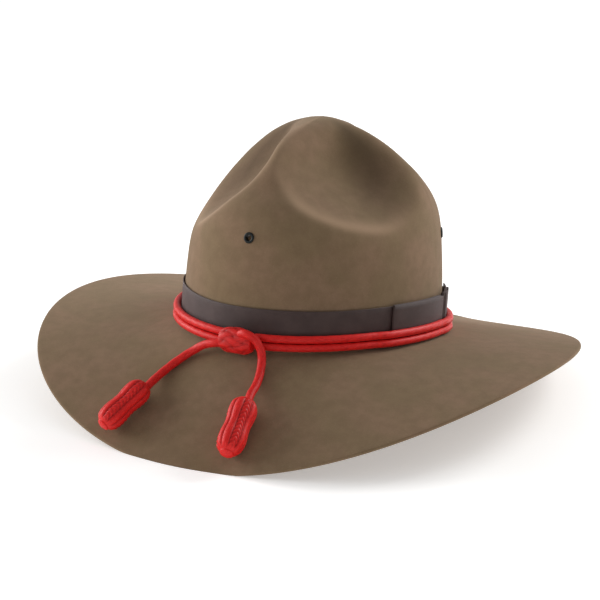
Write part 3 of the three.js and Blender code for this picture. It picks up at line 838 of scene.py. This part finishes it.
# The acorn's outline carried round its axis, less the grooves between ribs that are arches in section, and
# less a wave of chevrons on the braided ones.
def makeAcorn(row):
    a = acorn
    start, end = np.array(row["from"], float), np.array(row["to"], float)
    axis = unit(end - start)
    across = unit(np.cross(axis, [0, 0, 1.0]))
    rise = np.cross(across, axis)
    along = np.linspace(0, 1, a["rows"])[:, None]
    fine = np.linspace(0, 1, fineSteps)
    radius = np.interp(along, spline(a["along"], fine), spline(a["radius"], fine)) * row["full"]
    turn = np.linspace(0, 2 * np.pi, a["sides"], endpoint=False)
    count = a["ribs"] * (turn - np.radians(a["braidFrom"])) / (2 * np.pi)
    rib = count % 1 * 2 - 1
    braided = np.floor(count) % 3 == 1
    arch = np.sqrt(np.clip(1 - (rib / a["ribHalf"]) ** 2, 0, 1))
    u = along * row["long"]
    chevron = (1 + np.cos(2 * np.pi * (u / a["pitch"] - np.abs(rib) * a["chevronSlant"]))) / 2
    hollow = np.where(braided, (1 - chevron) * a["braid"], 0)
    fade = smooth(along, *a["ribsStart"]) * (1 - smooth(along, *a["ribsEnd"]))
    radius = radius + a["groove"] * (arch - hollow * arch ** a["braidRound"] - 1) * fade
    grid = (start + axis * u[..., None] + across * (radius * np.cos(turn))[..., None]
            + rise * (radius * np.sin(turn))[..., None])
    w = np.linspace(0, 2 * np.pi * a["mapRadius"], a["sides"] + 1)[None] * np.ones(a["rows"])[:, None]
    chart = np.stack([u * np.ones(a["sides"] + 1), w], -1)
    ends = (start, start + axis * row["long"])
    piece = skin(row["acorn"] + "_ribbed", grid[:, ::-1], rayon, ends, chart)
    # Painted shade in the grooves between ribs and in the hollows of the chevrons.
    groove = np.minimum((1 - arch) ** a["grooveSharp"] + hollow, 1) * fade * a["paintedShade"]
    mark(piece, "groove", groove[:, ::-1])
    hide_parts(row["acorn"])
    return piece


# Each end's route is a smooth curve through its points, whose last one lies inside the acorn's neck.
def makeTails():
    for row in tails:
        start, end = np.array(row["from"], float), np.array(row["to"], float)
        enter = start + row["enters"] + unit(end - start) * cord["into"]
        route = np.array(row["route"] + [enter.tolist()])
        path = np.stack([spline(route[:, k], np.linspace(0, 1, cord["tailSteps"])) for k in range(3)], -1)
        piece, line, length = makeCord(row["name"], path, cord["tail"])
        makeAcorn(row)


makeTails()
print("cord, slide and acorns made")

floorEdges = {"side": 6, "front": -6, "back": 9}  # metres


# White acrylic, lit from below and faintly mottled, wide enough to fill the view: the hat's shadow on it is
# soft and pale.
def makeFloor():
    material, tree, shader = newMaterial("white_acrylic_floor_lit_from_below")
    place = node(tree, "TexCoord", output="Object")
    cloud = node(tree, "TexNoise", {"Vector": place, "Scale": 1 / (60 * mm), "Detail": 2, "Roughness": 0.5})
    tone = node(tree, "Mix", {0: cloud, 6: linear("#f4f3f1"), 7: linear("#faf9f8")}, output=2,
                data_type="RGBA")
    setInputs(tree, shader, {"Base Color": tone, "Roughness": 0.9, "Emission Color": (1, 1, 1, 1),
                             "Emission Strength": 0.35})
    side, front, back = floorEdges["side"], floorEdges["front"], floorEdges["back"]
    corners = [(-side, front, 0), (side, front, 0), (side, back, 0), (-side, back, 0)]
    mesh = bpy.data.meshes.new("floor")
    mesh.from_pydata(corners, [], [(0, 1, 2, 3)])
    mesh.materials.append(material)
    floor = bpy.data.objects.new("floor", mesh)
    bpy.context.collection.objects.link(floor)


# Soft boxes, named for their side of the picture: two low ones at the wearer's right, a high one behind at
# the wearer's left with a weak low one beside it, and a white sky. Distance, size and the height that each
# box is moved up by are in metres.
lights = [
    {"name": "left_softbox_fore", "around": -62, "above": 5, "aim": 0.45, "watts": 12.5},
    {"name": "left_softbox_aft", "around": -90, "above": 5, "aim": 0.45, "watts": 12.5},
    {"name": "right_softbox_high", "around": 150, "above": 32, "aim": 0.08, "watts": 18},
    {"name": "right_softbox_low", "around": 120, "above": 5, "aim": 0.45, "watts": 2.5},
]
softbox = {"away": 1.7, "size": 0.9}
skyStrength = 0.42


def makeLights():
    for row in lights:
        a, e = np.radians(row["around"]), np.radians(row["above"])
        way = np.array([np.sin(a) * np.cos(e), -np.cos(a) * np.cos(e), np.sin(e)])
        right = unit(np.cross([0, 0, 1.0], way))
        up = np.cross(way, right)
        place = way * softbox["away"] + [0, 0, row["aim"]]
        data = bpy.data.lights.new(row["name"], "AREA")
        data.size = softbox["size"]
        data.energy = row["watts"]
        lamp = bpy.data.objects.new(row["name"], data)
        lamp.matrix_world = placed(right, up, way, place)
        bpy.context.collection.objects.link(lamp)
    world = bpy.data.worlds.new("studio")
    world.use_nodes = True
    setInputs(world.node_tree, world.node_tree.nodes["Background"],
              {"Color": (1, 1, 1, 1), "Strength": skyStrength})
    bpy.context.scene.world = world
    bpy.context.scene.view_settings.view_transform = "Standard"


makeFloor()
makeLights()
print("floor and lights made")
